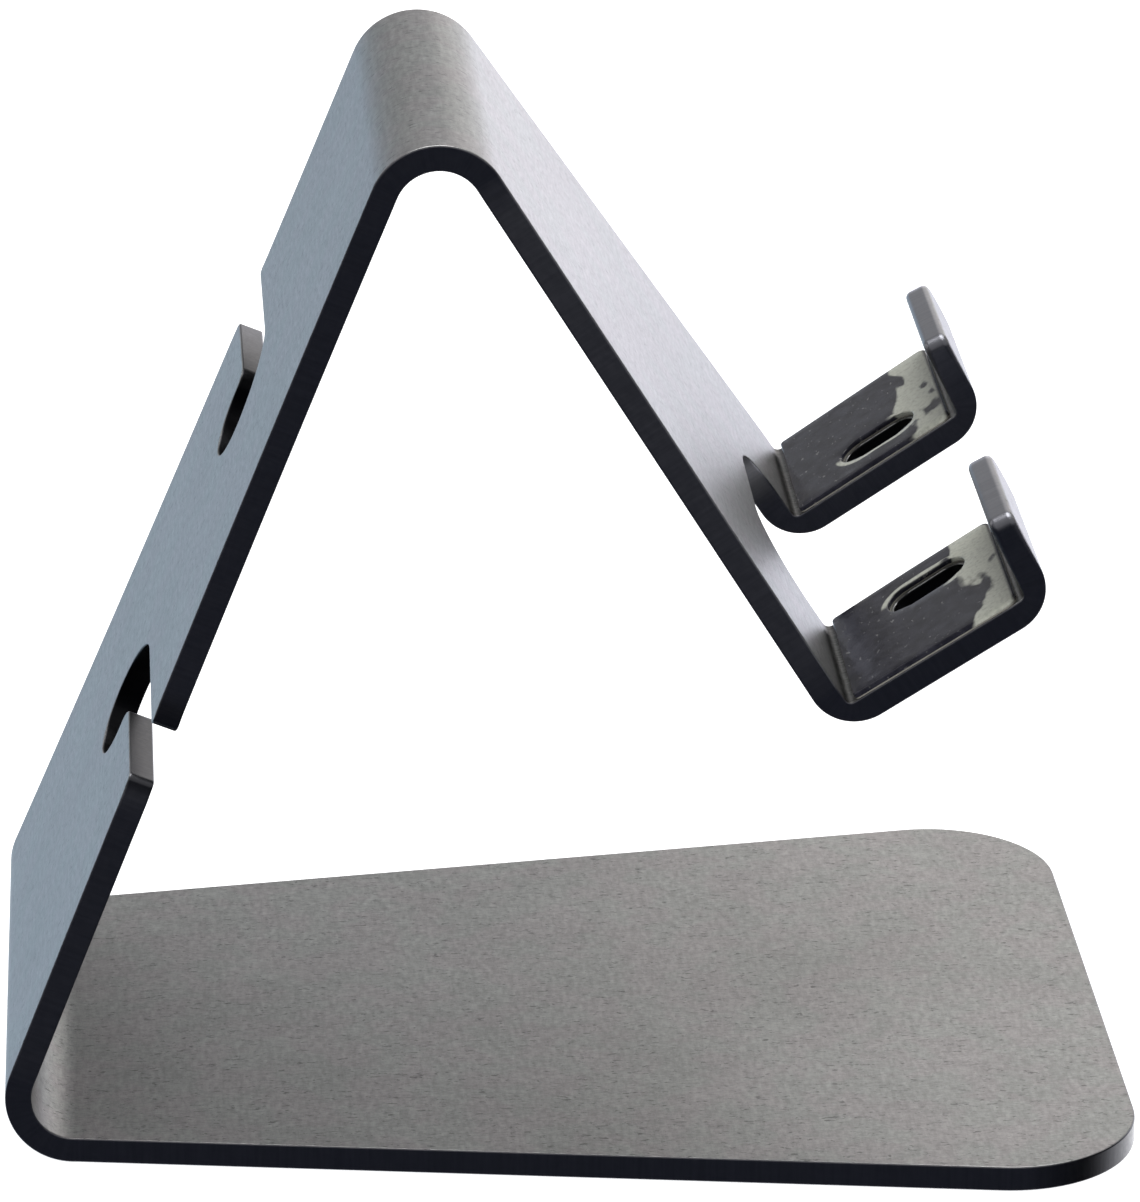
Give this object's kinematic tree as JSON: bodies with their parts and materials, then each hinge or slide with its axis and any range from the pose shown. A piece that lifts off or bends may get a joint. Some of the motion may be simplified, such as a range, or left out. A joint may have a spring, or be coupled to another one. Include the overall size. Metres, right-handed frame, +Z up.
{
  "type": "phone stand",
  "caption": "Folded sheet phone stand with a tapered base, leaning rear leg with cable hooks, rounded top bend and a split front leg ending in padded upturned ledges.",
  "frame": {"origin": "bottom centre of the bounding box, on the plane the feet rest on", "axes": "+Z up, -Y towards the front where the device and the ledges are, X along the width"},
  "size_m": [0.0656, 0.086, 0.0796],
  "materials": {
    "frame": "dark gunmetal anodised rolled sheet, satin, near-black cut edges",
    "ledge_pad": "thin glossy dark translucent soft pad",
    "glue": "pale clear adhesive film",
    "foot": "matte black soft rubber"
  },
  "bodies": {
    "root": {"frame": "frame", "ledge_pad_left": "ledge_pad", "ledge_pad_right": "ledge_pad", "ledge_glue_left": "glue", "ledge_glue_right": "glue", "foot_front_left": "foot", "foot_front_right": "foot", "foot_rear_left": "foot", "foot_rear_right": "foot", "foot_glue_front_left": "glue", "foot_glue_front_right": "glue", "foot_glue_rear_left": "glue", "foot_glue_rear_right": "glue"}
  },
  "joints": []
}
